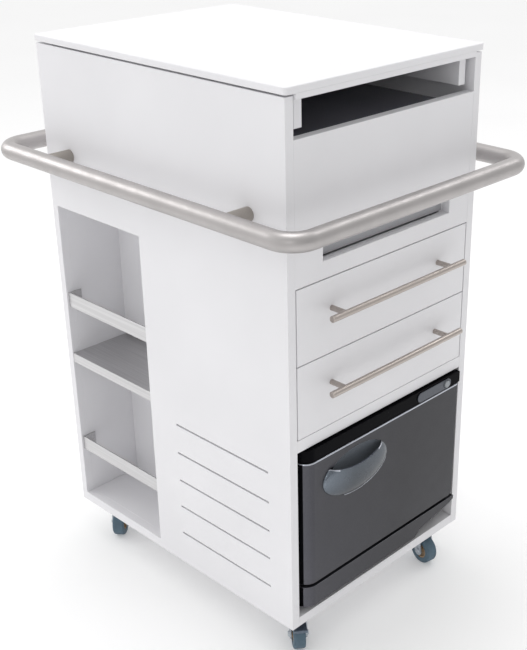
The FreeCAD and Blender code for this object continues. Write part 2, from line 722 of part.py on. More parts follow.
def fork(with_pedal):
    legs = []
    for y in (-LEG_INNER - LEG_SHEET, LEG_INNER):
        outline = [(-20, CROWN_Z[0]), (TRAIL + 6, CROWN_Z[0]), (TRAIL + 6, 60), (TRAIL + 10, WHEEL_RADIUS),
                   (TRAIL - 10, WHEEL_RADIUS), (-20, 63)]
        points = [Vector(x, y, z) for x, z in outline]
        leg = Part.Face(Part.makePolygon(points + points[:1])).extrude(ALONG_Y * LEG_SHEET)
        toe = rod(10.0, Vector(TRAIL, y, WHEEL_RADIUS), ALONG_Y, LEG_SHEET)
        legs.append(leg.fuse(toe))
    crown = rod(23.0, Vector(0, 0, CROWN_Z[0]), UP, CROWN_Z[1] - CROWN_Z[0])
    body = fuse([crown] + legs)
    cuts = [rod(KINGPIN_RADIUS + RUNNING_FIT, Vector(0, 0, 60), UP, 30),
            rod(AXLE_RADIUS, Vector(TRAIL, -30, WHEEL_RADIUS), ALONG_Y, 60)]
    if with_pedal:
        cuts.append(rod(PEDAL_PIN + RUNNING_FIT, PEDAL_PIVOT - ALONG_Y * 30, ALONG_Y, 60))
    return body.cut(cuts)


def hub():
    centre = Vector(TRAIL, 0, WHEEL_RADIUS)
    half = WHEEL_WIDTH / 2 - 1.5
    disc = rod(HUB_RADIUS, centre - ALONG_Y * half, ALONG_Y, 2 * half)
    boss = rod(8.0, centre - ALONG_Y * (LEG_INNER - 0.3), ALONG_Y, 2 * (LEG_INNER - 0.3))
    for side in (-1, 1):
        start = centre + ALONG_Y * (side * (half - 4))
        ring = rod(HUB_RADIUS - 3, start, ALONG_Y * side, 6)
        disc = disc.cut(ring)
    bore = rod(AXLE_RADIUS + RUNNING_FIT, centre - ALONG_Y * 20, ALONG_Y, 40)
    return fuse([disc, boss]).cut(bore)


def tyre():
    centre = Vector(TRAIL, 0, WHEEL_RADIUS)
    ring = rod(WHEEL_RADIUS, centre - ALONG_Y * (WHEEL_WIDTH / 2), ALONG_Y, WHEEL_WIDTH)
    ring = ring.makeFillet(4.0, [edge for edge in ring.Edges if len(edge.Vertexes) == 1])
    return ring.cut(rod(HUB_RADIUS, centre - ALONG_Y * 20, ALONG_Y, 40))


def brake_pedal():
    pin_half = LEG_INNER + LEG_SHEET
    pin = rod(PEDAL_PIN, PEDAL_PIVOT - ALONG_Y * pin_half, ALONG_Y, 2 * pin_half)
    barrel = rod(3.6, PEDAL_PIVOT - ALONG_Y * (LEG_INNER - 0.5), ALONG_Y, 2 * (LEG_INNER - 0.5))
    tread = block((TRAIL, TRAIL + 44), (-13, 13), (PEDAL_PIVOT.z - 1, PEDAL_PIVOT.z + 1.5))
    toe = block((TRAIL + 42, TRAIL + 44), (-13, 13), (PEDAL_PIVOT.z - 1, PEDAL_PIVOT.z + 5))
    return fuse([pin, barrel, tread, toe])


# ---------------------------------------------------------------- all nodes

def nodes():
    parts = {
        "left_side_panel": left_side_panel(),
        "right_side_panel": mirror_x(side_panel()),
        "back_panel": back_panel(),
        "bottom_board": block((-INNER, INNER), (FRONT, BACK_FACE), (CABINET_BOTTOM, BAY_FLOOR)),
        "bay_roof_board": block((-INNER, INNER), (FRONT, DIVIDER_FRONT), (BAY_TOP, BAY_ROOF_TOP)),
        "cross_divider": cross_divider(),
        "niche_back_board": block((NICHE_INNER, NICHE_INNER + BOARD), (NICHE_FRONT, BACK_FACE),
                                  (BAY_FLOOR, NICHE_TOP)),
        "middle_board": block((-INNER, INNER), (PANEL_BACK, BACK_FACE), (NICHE_TOP, MIDDLE_TOP)),
        "upper_front_panel": upper_front_panel(),
        "well_deck": block((-INNER, INNER), (PANEL_BACK, BACK_FACE), (WELL_FLOOR - BOARD, WELL_FLOOR)),
        "handrail": handrail(),
        "rail_posts": rail_posts(),
        "niche_shelf": niche_shelf(),
        "guard_bars": guard_bars(),
        "guard_screws": guard_screws(),
        "runner_channels": runner_channels(),
        "shelf_guides": shelf_guides(),
        "caster_plates": caster_plates(),
        "warmer_casing": warmer_casing(),
        "warmer_chamber": warmer_chamber(),
        "warmer_fascia": warmer_fascia(),
        "warmer_base_band": warmer_base_band(),
        "warmer_feet": warmer_feet(),
        "control_plate": control_plate(),
        "warmer_hinge_pins": warmer_hinge_pins(),
        "uv_lamp": uv_lamp(),
        "heater_element": heater_element(),
        "towel_rack": towel_rack(),
        "power_inlet": power_inlet(),
        "warmer_door": warmer_door(),
        "door_liner": door_liner(),
        "door_seal": door_seal(),
        "door_handle": door_handle(),
        "power_switch": power_switch(),
        "top_board": top_board(),
        "top_frame": top_frame(),
        "top_slides": top_slides(),
        "work_shelf": work_shelf(),
    }
    for name in DRAWER_LEVELS:
        parts[name + "_drawer_front"] = drawer_front(name)
        parts[name + "_drawer_box"] = drawer_box(name)
        parts[name + "_drawer_slides"] = drawer_slides(name)
        parts[name + "_drawer_pull"] = drawer_pull(name)
    for corner, (side_x, side_y, angle) in CASTERS.items():
        braked = corner in BRAKED_CASTERS
        forks = group([fork(braked), axle()])
        parts[corner + "_fork"] = place(forks, side_x, side_y, angle)
        parts[corner + "_hub"] = place(hub(), side_x, side_y, angle)
        parts[corner + "_tyre"] = place(tyre(), side_x, side_y, angle)
        if braked:
            parts[corner + "_brake_pedal"] = place(brake_pedal(), side_x, side_y, angle)
    return parts


def main():
    os.makedirs("parts", exist_ok=True)
    parts = nodes()
    for name, shape in parts.items():
        shape.exportStep("parts/" + name + ".step")
    print(len(parts), "nodes")


main()
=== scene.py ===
"""Looks of the rolling salon trolley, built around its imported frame. Metres, +Z up."""
import bmesh
import bpy
import json
import math
from mathutils import Matrix, Vector


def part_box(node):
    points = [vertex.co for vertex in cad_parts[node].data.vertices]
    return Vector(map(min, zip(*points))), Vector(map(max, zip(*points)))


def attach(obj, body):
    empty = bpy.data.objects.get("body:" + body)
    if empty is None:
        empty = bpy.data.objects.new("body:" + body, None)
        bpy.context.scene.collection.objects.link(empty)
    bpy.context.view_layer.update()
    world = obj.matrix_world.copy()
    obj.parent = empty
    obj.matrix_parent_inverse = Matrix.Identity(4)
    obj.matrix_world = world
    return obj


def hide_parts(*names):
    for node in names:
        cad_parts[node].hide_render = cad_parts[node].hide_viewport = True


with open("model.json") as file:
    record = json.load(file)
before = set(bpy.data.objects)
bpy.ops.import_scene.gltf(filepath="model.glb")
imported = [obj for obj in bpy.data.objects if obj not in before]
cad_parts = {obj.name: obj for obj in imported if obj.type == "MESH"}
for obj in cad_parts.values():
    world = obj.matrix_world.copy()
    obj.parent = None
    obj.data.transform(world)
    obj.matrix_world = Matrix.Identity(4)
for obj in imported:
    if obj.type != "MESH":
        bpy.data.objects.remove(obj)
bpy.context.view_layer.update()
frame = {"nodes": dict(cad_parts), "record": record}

record = frame["record"]
BODY_OF = {node: body for body, nodes in record["behaviour"]["bodies"].items() for node in nodes}
SLOT_OF = {part["node"]: part["material_slot"] for part in record["subparts"]}

MM = 0.001


# ---------------------------------------------------------------- materials

class Finish:
    """A Principled material and the few node chains that its pattern needs."""

    def __init__(self, name, colour, roughness, metallic=0.0, coat=0.0, coat_roughness=0.05):
        self.material = bpy.data.materials.new(name)
        self.material.use_nodes = True
        self.nodes = self.material.node_tree.nodes
        self.links = self.material.node_tree.links
        self.shader = self.nodes["Principled BSDF"]
        self.colour = colour
        self.shader.inputs["Base Color"].default_value = (*colour, 1)
        self.shader.inputs["Roughness"].default_value = roughness
        self.shader.inputs["Metallic"].default_value = metallic
        self.shader.inputs["Coat Weight"].default_value = coat
        self.shader.inputs["Coat Roughness"].default_value = coat_roughness
        self.normal = None

    def dull(self, level):
        """Weaker mirror reflection than plain plastic has."""
        self.shader.inputs["Specular IOR Level"].default_value = level
        return self

    def noise(self, size, detail=3.0, stretch=(1, 1, 1)):
        """Noise on the piece's own coordinates; size is one blotch in metres, stretch makes it longer."""
        coordinates = self.nodes.new("ShaderNodeTexCoord")
        mapping = self.nodes.new("ShaderNodeMapping")
        mapping.inputs["Scale"].default_value = [1 / (size * s) for s in stretch]
        texture = self.nodes.new("ShaderNodeTexNoise")
        texture.inputs["Scale"].default_value = 1.0
        texture.inputs["Detail"].default_value = detail
        self.links.new(coordinates.outputs["Object"], mapping.inputs["Vector"])
        self.links.new(mapping.outputs["Vector"], texture.inputs["Vector"])
        return texture.outputs["Fac"]

    def flakes(self, size):
        """Tiny cells, each with its own brightness, like flakes in metallic paint."""
        coordinates = self.nodes.new("ShaderNodeTexCoord")
        texture = self.nodes.new("ShaderNodeTexVoronoi")
        texture.inputs["Scale"].default_value = 1 / size
        self.links.new(coordinates.outputs["Object"], texture.inputs["Vector"])
        return texture.outputs["Color"]

    def ranged(self, source, low, high, start=0.3, end=0.7):
        """Spreads a pattern's middle range over low to high."""
        node = self.nodes.new("ShaderNodeMapRange")
        node.inputs["From Min"].default_value = start
        node.inputs["From Max"].default_value = end
        node.inputs["To Min"].default_value = low
        node.inputs["To Max"].default_value = high
        self.links.new(source, node.inputs["Value"])
        return node.outputs["Result"]

    def tint(self, source, low, high):
        """Base colour that a pattern varies between low and high times its own value."""
        mix = self.nodes.new("ShaderNodeMix")
        mix.data_type = "RGBA"
        mix.inputs[6].default_value = (*[min(1, c * low) for c in self.colour], 1)
        mix.inputs[7].default_value = (*[min(1, c * high) for c in self.colour], 1)
        self.links.new(self.ranged(source, 0, 1), mix.inputs[0])
        self.links.new(mix.outputs[2], self.shader.inputs["Base Color"])
        return self

    def shade_along(self, axis, start, end, low, high):
        """Painted light and shade: paint that lies lighter or darker from one place to another along the
        piece's own axis.
        """
        coordinates = self.nodes.new("ShaderNodeTexCoord")
        split = self.nodes.new("ShaderNodeSeparateXYZ")
        self.links.new(coordinates.outputs["Object"], split.inputs["Vector"])
        mix = self.nodes.new("ShaderNodeMix")
        mix.data_type = "RGBA"
        mix.blend_type = "MULTIPLY"
        mix.inputs[0].default_value = 1.0
        shade = self.nodes.new("ShaderNodeCombineColor")
        level = self.ranged(split.outputs[axis], low, high, start, end)
        for channel in ("Red", "Green", "Blue"):
            self.links.new(level, shade.inputs[channel])
        base = self.shader.inputs["Base Color"]
        self.links.new(base.links[0].from_socket, mix.inputs[6])
        self.links.new(shade.outputs["Color"], mix.inputs[7])
        self.links.new(mix.outputs[2], base)
        return self

    def satin(self, source, low, high):
        self.links.new(self.ranged(source, low, high), self.shader.inputs["Roughness"])
        return self

    def relief(self, source, depth, strength=1.0):
        bump = self.nodes.new("ShaderNodeBump")
        bump.inputs["Distance"].default_value = depth
        bump.inputs["Strength"].default_value = strength
        self.links.new(source, bump.inputs["Height"])
        if self.normal:
            self.links.new(self.normal, bump.inputs["Normal"])
        self.normal = bump.outputs["Normal"]
        self.links.new(self.normal, self.shader.inputs["Normal"])
        return self


def laminate(name, colour, roughness):
    """Melamine-faced board: pearl grain, faint clouding and slightly handled gloss."""
    look = Finish(name, colour, roughness)
    look.tint(look.noise(0.22, 2.0), 0.975, 1.02)
    look.satin(look.noise(0.05, 6.0), roughness - 0.05, roughness + 0.07)
    look.relief(look.noise(0.0011, 2.0), 0.00006, 0.35)
    return look.material


def brushed(name, colour, roughness, stretch):
    """Metal with fine brush lines along the stretched axis."""
    look = Finish(name, colour, roughness, metallic=1.0)
    lines = look.noise(0.0005, 3.0, stretch)
    look.tint(look.noise(0.004, 3.0, stretch), 0.90, 1.06)
    look.satin(lines, roughness - 0.06, roughness + 0.10)
    look.relief(lines, 0.00003, 0.5)
    return look.material


def satin_steel(name, colour, roughness):
    """Tube with a fine, even grain, and faint handling marks."""
    look = Finish(name, colour, roughness, metallic=1.0)
    look.tint(look.noise(0.06, 3.0), 0.95, 1.04)
    look.satin(look.noise(0.02, 5.0), roughness - 0.04, roughness + 0.06)
    look.relief(look.noise(0.0007, 2.0), 0.00002, 0.4)
    return look.material


def zinc(name, colour, roughness):
    """Zinc-plated pressed steel: soft spangle and dull patches."""
    look = Finish(name, colour, roughness, metallic=0.95)
    look.tint(look.noise(0.004, 4.0), 0.82, 1.10)
    look.satin(look.noise(0.009, 4.0), roughness - 0.08, roughness + 0.12)
    look.relief(look.noise(0.0015, 3.0), 0.00005, 0.5)
    return look.material


def metallic_paint(name, colour, roughness, metallic, sheen=()):
    """Moulded shell sprayed with metallic paint under a thin clear coat, with any rows of painted sheen
    laid over its colour.
    """
    look = Finish(name, colour, roughness, metallic, coat=0.25, coat_roughness=0.12)
    look.tint(look.flakes(0.0006), 0.86, 1.16)
    for axis, start, end, low, high in sheen:
        look.shade_along(axis, start, end, low, high)
    look.satin(look.noise(0.03, 4.0), roughness - 0.03, roughness + 0.05)
    look.relief(look.noise(0.0009, 2.0), 0.00003, 0.3)
    return look.material


def gloss_plastic(name, colour, roughness, mirror):
    """Polished moulding with fine wiping marks."""
    look = Finish(name, colour, roughness).dull(mirror)
    look.satin(look.noise(0.006, 5.0, (4, 1, 1)), roughness - 0.03, roughness + 0.08)
    look.relief(look.noise(0.02, 2.0), 0.00004, 0.3)
    return look.material


def moulded(name, colour, roughness, grain=0.0009):
    """Matt moulded plastic or rubber with a spark-eroded grain."""
    look = Finish(name, colour, roughness)
    look.tint(look.noise(0.012, 4.0), 0.88, 1.12)
    look.satin(look.noise(0.004, 3.0), roughness - 0.06, roughness + 0.06)
    look.relief(look.noise(grain, 3.0), 0.0001, 0.5)
    return look.material


def enamel(name, colour, roughness):
    """Baked enamel on sheet steel with a slight orange peel."""
    look = Finish(name, colour, roughness)
    look.tint(look.noise(0.05, 3.0), 0.85, 1.15)
    look.satin(look.noise(0.01, 3.0), roughness - 0.05, roughness + 0.08)
    look.relief(look.noise(0.0025, 2.0), 0.0001, 0.4)
    return look.material


def lamp_glass():
    look = Finish("lamp_glass", (0.86, 0.9, 1.0), 0.08)
    look.shader.inputs["Transmission Weight"].default_value = 0.85
    look.shader.inputs["IOR"].default_value = 1.45
    look.satin(look.noise(0.01, 3.0), 0.04, 0.16)
    return look.material


# Painted sheen and painted reflection. Each sheen row: axis, where it starts and ends in metres,
# brightness at the start and at the end. The door is painted lighter at its round left edge, towards the
# left and lower down.
DOOR_PAINTED_SHEEN = (
    ("X", -0.216, -0.192, 1.45, 1.0),
    ("X", -0.22, 0.05, 1.15, 0.55),
    ("Z", 0.18, 0.30, 1.2, 0.98),
)
# Painted highlight on the grip: lighter at its left end and towards the top.
GRIP_PAINTED_SHEEN = (
    ("X", -0.172, -0.105, 1.5, 0.72),
    ("Z", 0.335, 0.385, 0.7, 1.1),
)
# Brush lines are 60 times as long along one axis as across it.
LONG_X = (60, 1, 1)
LONG_Y = (1, 60, 1)
MATERIALS = {
    "white_laminate": laminate("white_laminate", (0.77, 0.765, 0.785), 0.36),
    "charcoal_laminate": laminate("charcoal_laminate", (0.17, 0.17, 0.20), 0.16),
    "grey_laminate": laminate("grey_laminate", (0.38, 0.38, 0.40), 0.35),
    "brushed_stainless": brushed("brushed_stainless", (0.60, 0.595, 0.60), 0.36, LONG_Y),
    "satin_tube": satin_steel("satin_tube", (0.455, 0.435, 0.43), 0.42),
    "post_steel": satin_steel("post_steel", (0.40, 0.37, 0.34), 0.42),
    "brushed_nickel": brushed("brushed_nickel", (0.46, 0.415, 0.385), 0.30, LONG_X),
    "zinc_steel": zinc("zinc_steel", (0.46, 0.50, 0.54), 0.34),
    "runner_steel": zinc("runner_steel", (0.66, 0.67, 0.68), 0.40),
    "black_enamel": enamel("black_enamel", (0.008, 0.008, 0.008), 0.45),
    "gloss_black": gloss_plastic("gloss_black", (0.003, 0.003, 0.004), 0.14, 0.03),
    "graphite_metallic": metallic_paint("graphite_metallic", (0.045, 0.045, 0.053), 0.34, 0.75,
                                        DOOR_PAINTED_SHEEN),
    "silver_plastic": metallic_paint("silver_plastic", (0.10, 0.115, 0.135), 0.24, 0.9, GRIP_PAINTED_SHEEN),
    # Brighter metal for painted highlights: the door's top roll, the grip's lip and a bead under the grip.
    "painted_highlight_edge": satin_steel("painted_highlight_edge", (0.52, 0.54, 0.60), 0.25),
    # Lighter grey for the control plate's rim and for the painted highlight on the band's top edge.
    "trim_and_highlight_grey": satin_steel("trim_and_highlight_grey", (0.22, 0.22, 0.25), 0.30),
    # Darker zinc for the brake pedals, painted shade for their place under the cabinet.
    "pedal_shaded_zinc": zinc("pedal_shaded_zinc", (0.14, 0.17, 0.21), 0.40),
    "plate_silver": metallic_paint("plate_silver", (0.07, 0.078, 0.095), 0.34, 0.6),
    "dish_silver": metallic_paint("dish_silver", (0.19, 0.21, 0.24), 0.42, 0.25),
    "grey_plastic": moulded("grey_plastic", (0.30, 0.32, 0.34), 0.40),
    "chamber_aluminium": brushed("chamber_aluminium", (0.80, 0.81, 0.82), 0.25, LONG_Y),
    "seal_rubber": moulded("seal_rubber", (0.03, 0.03, 0.032), 0.70),
    "lamp_glass": lamp_glass(),
    "heater_steel": zinc("heater_steel", (0.30, 0.26, 0.24), 0.45),
    "rack_wire": satin_steel("rack_wire", (0.80, 0.80, 0.82), 0.12),
    "black_plastic": moulded("black_plastic", (0.02, 0.02, 0.02), 0.50),
    "blue_grey_rubber": moulded("blue_grey_rubber", (0.075, 0.125, 0.165), 0.60, 0.0014),
    "tan_plastic": moulded("tan_plastic", (0.36, 0.25, 0.15), 0.50),
}


# ---------------------------------------------------------------- pieces

QUARTER_TURN = math.radians(90)
SMOOTH_ANGLE = math.radians(50)
FLAT_ANGLE = math.radians(0.5)


def finish_piece(name, bm, material, nodes):
    """Turns a bmesh into a piece that rides on its node's body and stands for the given nodes."""
    mesh = bpy.data.meshes.new(name)
    for face in bm.faces:
        face.smooth = True
    bm.to_mesh(mesh)
    bm.free()
    mesh.set_sharp_from_angle(angle=SMOOTH_ANGLE)
    mesh.materials.append(MATERIALS[material])
    piece = bpy.data.objects.new(name, mesh)
    bpy.context.scene.collection.objects.link(piece)
    modifier = piece.modifiers.new("weighted_normals", "WEIGHTED_NORMAL")
    modifier.keep_sharp = True
    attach(piece, BODY_OF[nodes[0]])
    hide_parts(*nodes)
    return piece


def merged_copy(node):
    """The node's own shape as one clean bmesh with flat faces joined."""
    bm = bmesh.new()
    bm.from_mesh(frame["nodes"][node].data)
    bmesh.ops.remove_doubles(bm, verts=bm.verts, dist=1e-6)
    bmesh.ops.dissolve_limit(bm, angle_limit=FLAT_ANGLE, verts=bm.verts, edges=bm.edges)
    return bm


def bevel_sharp(bm, width, segments=2, angle=35.0):
    sharp = [edge for edge in bm.edges
             if len(edge.link_faces) == 2 and edge.calc_face_angle(0) > math.radians(angle)]
    bmesh.ops.bevel(bm, geom=sharp, offset=width, offset_type="OFFSET", segments=segments, profile=0.5,
                    affect="EDGES", material=-1, clamp_overlap=True)


def softened(node, width, material=None, segments=2):
    """The node's own shape with its edges eased."""
    bm = merged_copy(node)
    bevel_sharp(bm, width, segments)
    return finish_piece(node + "_eased", bm, material or SLOT_OF[node], [node])


def rounded_loop(tube, half_x, half_y, corner, segments, steps):
    """Tube bent into a level rectangle with round corners, centred on the origin."""
    run_x = half_x - corner
    run_y = half_y - corner
    bm = bmesh.new()
    across = Matrix.Translation((-run_x, -half_y, 0)) @ Matrix.Rotation(QUARTER_TURN, 4, "Y")
    start = bmesh.ops.create_circle(bm, cap_ends=False, segments=segments, radius=tube, matrix=across)
    edges = list({edge for vert in start["verts"] for edge in vert.link_edges})
    turns = [(run_x, -run_y), (run_x, run_y), (-run_x, run_y), (-run_x, -run_y)]
    runs = [(2 * run_x, 0), (0, 2 * run_y), (-2 * run_x, 0), (0, -2 * run_y)]
    for (centre_x, centre_y), (along_x, along_y) in zip(turns, runs):
        if abs(along_x) + abs(along_y) > 1e-6:
            grown = bmesh.ops.extrude_edge_only(bm, edges=edges)["geom"]
            moved = [item for item in grown if isinstance(item, bmesh.types.BMVert)]
            edges = [item for item in grown if isinstance(item, bmesh.types.BMEdge)]
            bmesh.ops.translate(bm, verts=moved, vec=(along_x, along_y, 0))
        bend = bmesh.ops.spin(bm, geom=edges, cent=(centre_x, centre_y, 0), axis=(0, 0, 1),
                              angle=QUARTER_TURN, steps=steps, use_merge=False)
        edges = [item for item in bend["geom_last"] if isinstance(item, bmesh.types.BMEdge)]
    bmesh.ops.remove_doubles(bm, verts=bm.verts, dist=1e-5)
    bmesh.ops.recalc_face_normals(bm, faces=bm.faces)
    return bm


RAIL_TUBE = 16.85 * MM
RAIL_CORNER = 42.0 * MM
RAIL_SIDES = 48
RAIL_BEND_STEPS = 14


def push_rail():
    """One bent tube round the cabinet."""
    low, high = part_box("handrail")
    half_x = (high[0] - low[0]) / 2 - RAIL_TUBE
    half_y = (high[1] - low[1]) / 2 - RAIL_TUBE
    bm = rounded_loop(RAIL_TUBE, half_x, half_y, RAIL_CORNER, RAIL_SIDES, RAIL_BEND_STEPS)
    centre = [(a + b) / 2 for a, b in zip(low, high)]
    bmesh.ops.translate(bm, verts=bm.verts, vec=centre)
    return finish_piece("push_rail_tube", bm, "satin_tube", ["handrail"])


PLATE_RIM = 0.8 * MM
PLATE_EDGE = 0.4 * MM
PLATE_RIM_SIDES = 10
PLATE_BEND_STEPS = 12


def status_plate():
    """Warmer's control plate with a fine raised rim."""
    low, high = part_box("control_plate")
    bm = merged_copy("control_plate")
    bevel_sharp(bm, PLATE_EDGE)
    half_long = (high[0] - low[0]) / 2 - PLATE_RIM
    half_tall = (high[2] - low[2]) / 2 - PLATE_RIM
    rim = rounded_loop(PLATE_RIM, half_long, half_tall, half_tall - 1e-6, PLATE_RIM_SIDES,
                       PLATE_BEND_STEPS)
    upright = Matrix.Rotation(QUARTER_TURN, 4, "X")
    place = Matrix.Translation(((low[0] + high[0]) / 2, low[1] + PLATE_RIM, (low[2] + high[2]) / 2))
    bmesh.ops.transform(rim, matrix=place @ upright, verts=rim.verts)
    # The rim takes the lighter grey that also paints the band's top highlight.
    for face in rim.faces:
        face.material_index = 1
    joined = bpy.data.meshes.new("plate_rim")
    joined.materials.append(MATERIALS["plate_silver"])
    joined.materials.append(MATERIALS["trim_and_highlight_grey"])
    rim.to_mesh(joined)
    rim.free()
    bm.from_mesh(joined)
    piece = finish_piece("control_plate_rimmed", bm, "plate_silver", ["control_plate"])
    piece.data.materials.append(MATERIALS["trim_and_highlight_grey"])
    return piece


BEZEL_WIDTH = 1.2 * MM
BEZEL_STEP = 0.3 * MM
ROCKER_SUNK = 0.6 * MM
ROCKER_EDGE = 0.25 * MM
ROCKER_SIDES = 40
ROCKER_SLOPE = 0.07
ROCKER_MARGIN = 1.4 * MM
ROCKER_FACE_DEPTH = 2 * MM


def rocker():
    """Round rocker with a bezel and a shallow V across its face."""
    low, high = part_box("power_switch")
    centre = Vector(((low[0] + high[0]) / 2, 0, (low[2] + high[2]) / 2))
    radius = (high[0] - low[0]) / 2
    depth = high[1] - low[1]
    bm = bmesh.new()
    place = Matrix.Translation((centre.x, low[1] + depth / 2, centre.z))
    facing = place @ Matrix.Rotation(QUARTER_TURN, 4, "X")
    bmesh.ops.create_cone(bm, cap_ends=True, segments=ROCKER_SIDES, radius1=radius, radius2=radius,
                          depth=depth, matrix=facing)
    front = [face for face in bm.faces if face.normal.y < -0.9]
    bmesh.ops.inset_region(bm, faces=front, thickness=BEZEL_WIDTH, depth=0)
    bmesh.ops.inset_region(bm, faces=front, thickness=BEZEL_STEP, depth=-ROCKER_SUNK)
    bmesh.ops.bisect_plane(bm, geom=bm.verts[:] + bm.edges[:] + front, dist=1e-7, plane_co=centre,
                           plane_no=(1, 0, 0))
    for vert in bm.verts:
        inner = (vert.co - Vector((centre.x, vert.co.y, centre.z))).length < radius - ROCKER_MARGIN
        if inner and vert.co.y < low[1] + ROCKER_FACE_DEPTH:
            vert.co.y -= (vert.co.x - centre.x) * ROCKER_SLOPE
    bevel_sharp(bm, ROCKER_EDGE)
    return finish_piece("rocker_face", bm, SLOT_OF["power_switch"], ["power_switch"])


LIP_RADIUS = 211.0 * MM
LIP_LOW = 15.0 * MM
LIP_ROLL = 1.3 * MM
CUP_TALL = 47.0 * MM
CUP_WALL = 3.2 * MM
STATIONS = 56
ARC_STEPS = 26


def grip_section(across, half, depth, tall):
    """Loop of the cup's section: outer curve up to the lip, then the hollow's curve back down."""
    reach = math.sqrt(max(0.0, 1 - (across / half) ** 2))
    lip = LIP_LOW + LIP_RADIUS - math.sqrt(LIP_RADIUS ** 2 - across ** 2)
    top = math.asin(min(1.0, lip / max(1e-9, tall * reach)))
    turns = [-math.pi / 2 + (top + math.pi / 2) * step / (ARC_STEPS - 1) for step in range(ARC_STEPS)]
    outer = [(-depth * reach * math.cos(turn), tall * reach * math.sin(turn)) for turn in turns]
    thin = max(0.25, 1 - CUP_WALL / max(1e-9, depth * reach))
    inner = [(y * thin, z if index == ARC_STEPS - 1 else z * (0.45 + 0.55 * thin))
             for index, (y, z) in enumerate(outer)]
    return outer + inner[::-1]


def door_grip():
    """Bulging cup that the fingers reach behind, open along its upper lip."""
    low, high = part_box("door_handle")
    half = (high[0] - low[0]) / 2
    depth = high[1] - low[1]
    middle = Vector(((low[0] + high[0]) / 2, high[1], low[2] + CUP_TALL))
    bm = bmesh.new()
    rings = []
    for station in range(STATIONS):
        across = -math.cos(math.pi * (station + 0.35) / (STATIONS - 0.3)) * half
        ring = bmesh.ops.create_circle(bm, cap_ends=station in (0, STATIONS - 1), segments=2 * ARC_STEPS,
                                       radius=1.0)["verts"]
        for vert, (y, z) in zip(ring, grip_section(across, half, depth, CUP_TALL)):
            vert.co = middle + Vector((across, y, z))
        rings.append(ring)
    for first, second in zip(rings, rings[1:]):
        around = []
        for ring in (first, second):
            members = set(ring)
            around += [edge for edge in {e for v in ring for e in v.link_edges}
                       if edge.verts[0] in members and edge.verts[1] in members]
        bmesh.ops.bridge_loops(bm, edges=around)
    bmesh.ops.remove_doubles(bm, verts=bm.verts, dist=2e-5)
    bmesh.ops.recalc_face_normals(bm, faces=bm.faces)
    bevel_sharp(bm, LIP_ROLL, 3, 50)
    # Faces rolled over the lip take the brighter metal, a painted highlight along the lip.
    lip_centre = middle.z + LIP_LOW + LIP_RADIUS
    for face in bm.faces:
        centre = face.calc_center_median()
        rise = math.hypot(centre.x - middle.x, centre.z - lip_centre)
        if rise < LIP_RADIUS + LIP_ROLL and centre.y < high[1] - 1 * MM:
            face.material_index = 1
    piece = finish_piece("door_grip", bm, "silver_plastic", ["door_handle"])
    piece.data.materials.append(MATERIALS["painted_highlight_edge"])
    return piece


def painted_bead_arc(name, material, centre, half_x, half_z, tube, start, sweep):
    """Thin bead on the door's face that follows part of an ellipse below the grip; a dark bead stands for
    painted shadow, a bright one for painted highlight.
    """
    bm = bmesh.new()
    radius = half_z
    spot = Matrix.Rotation(start, 4, "Y") @ Matrix.Translation((radius, 0, 0))
    ring = bmesh.ops.create_circle(bm, cap_ends=True, segments=10, radius=tube, matrix=spot)
    around = list({edge for vert in ring["verts"] for edge in vert.link_edges})
    bmesh.ops.spin(bm, geom=around, cent=(0, 0, 0), axis=(0, 1, 0), angle=sweep, steps=48, use_merge=False)
    bmesh.ops.scale(bm, verts=bm.verts, vec=(half_x / half_z, 1, 1))
    bmesh.ops.translate(bm, verts=bm.verts, vec=centre)
    bmesh.ops.recalc_face_normals(bm, faces=bm.faces)
    return finish_piece(name, bm, material, ["door_handle"])


# Each painted bead, for shadow and highlight under the grip: name, material, shift to the right, distance
# out from the door, height of its centre above the cup's bottom, half width, half height and bead radius
# in mm, then start and sweep in degrees.
PAINTED_GRIP_BEADS = (
    ("grip_painted_shadow", "gloss_black", 3, 0.2, 45, 83, 45, 1.5, 20, 85),
    ("grip_painted_highlight", "painted_highlight_edge", 3.5, 0.4, 44, 85, 46.8, 0.7, 15, 100),
)


def paint_grip_shadow_and_highlight():
    """Painted shadow and painted highlight under the grip's right part: a dark bead and a bright bead."""
    low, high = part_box("door_handle")
    centre_x = (low[0] + high[0]) / 2
    for name, material, aside, out, rise, half_x, half_z, bead, start, sweep in PAINTED_GRIP_BEADS:
        centre = (centre_x + aside * MM, high[1] - out * MM, low[2] + rise * MM)
        painted_bead_arc(name, material, centre, half_x * MM, half_z * MM, bead * MM, math.radians(start),
                math.radians(sweep))


# Faces that look this far to the left are painted gloss black: painted dark reflection and shade on the
# door's and band's left flank.
PAINTED_DARK_FLANK = -0.82
DOOR_ROLL = 2.6 * MM
DISH_ROLL = 0.9 * MM
BAND_ROLL = 1.6 * MM
TOP_HIGHLIGHT_DEPTH = 3.1 * MM
HINGE_STRIP = 12 * MM
DISH_DEPTH = 11.5 * MM


def paint_top_highlight(face, centre, top, index):
    """Gives the rolled faces just under a front slab's top edge their own lighter metal, a painted
    highlight along the top edge.
    """
    rolled = 0.15 < face.normal.z < 0.93 and centre.z > top - TOP_HIGHLIGHT_DEPTH
    if rolled and max(abs(face.normal.x), -face.normal.y) > 0.2:
        face.material_index = index


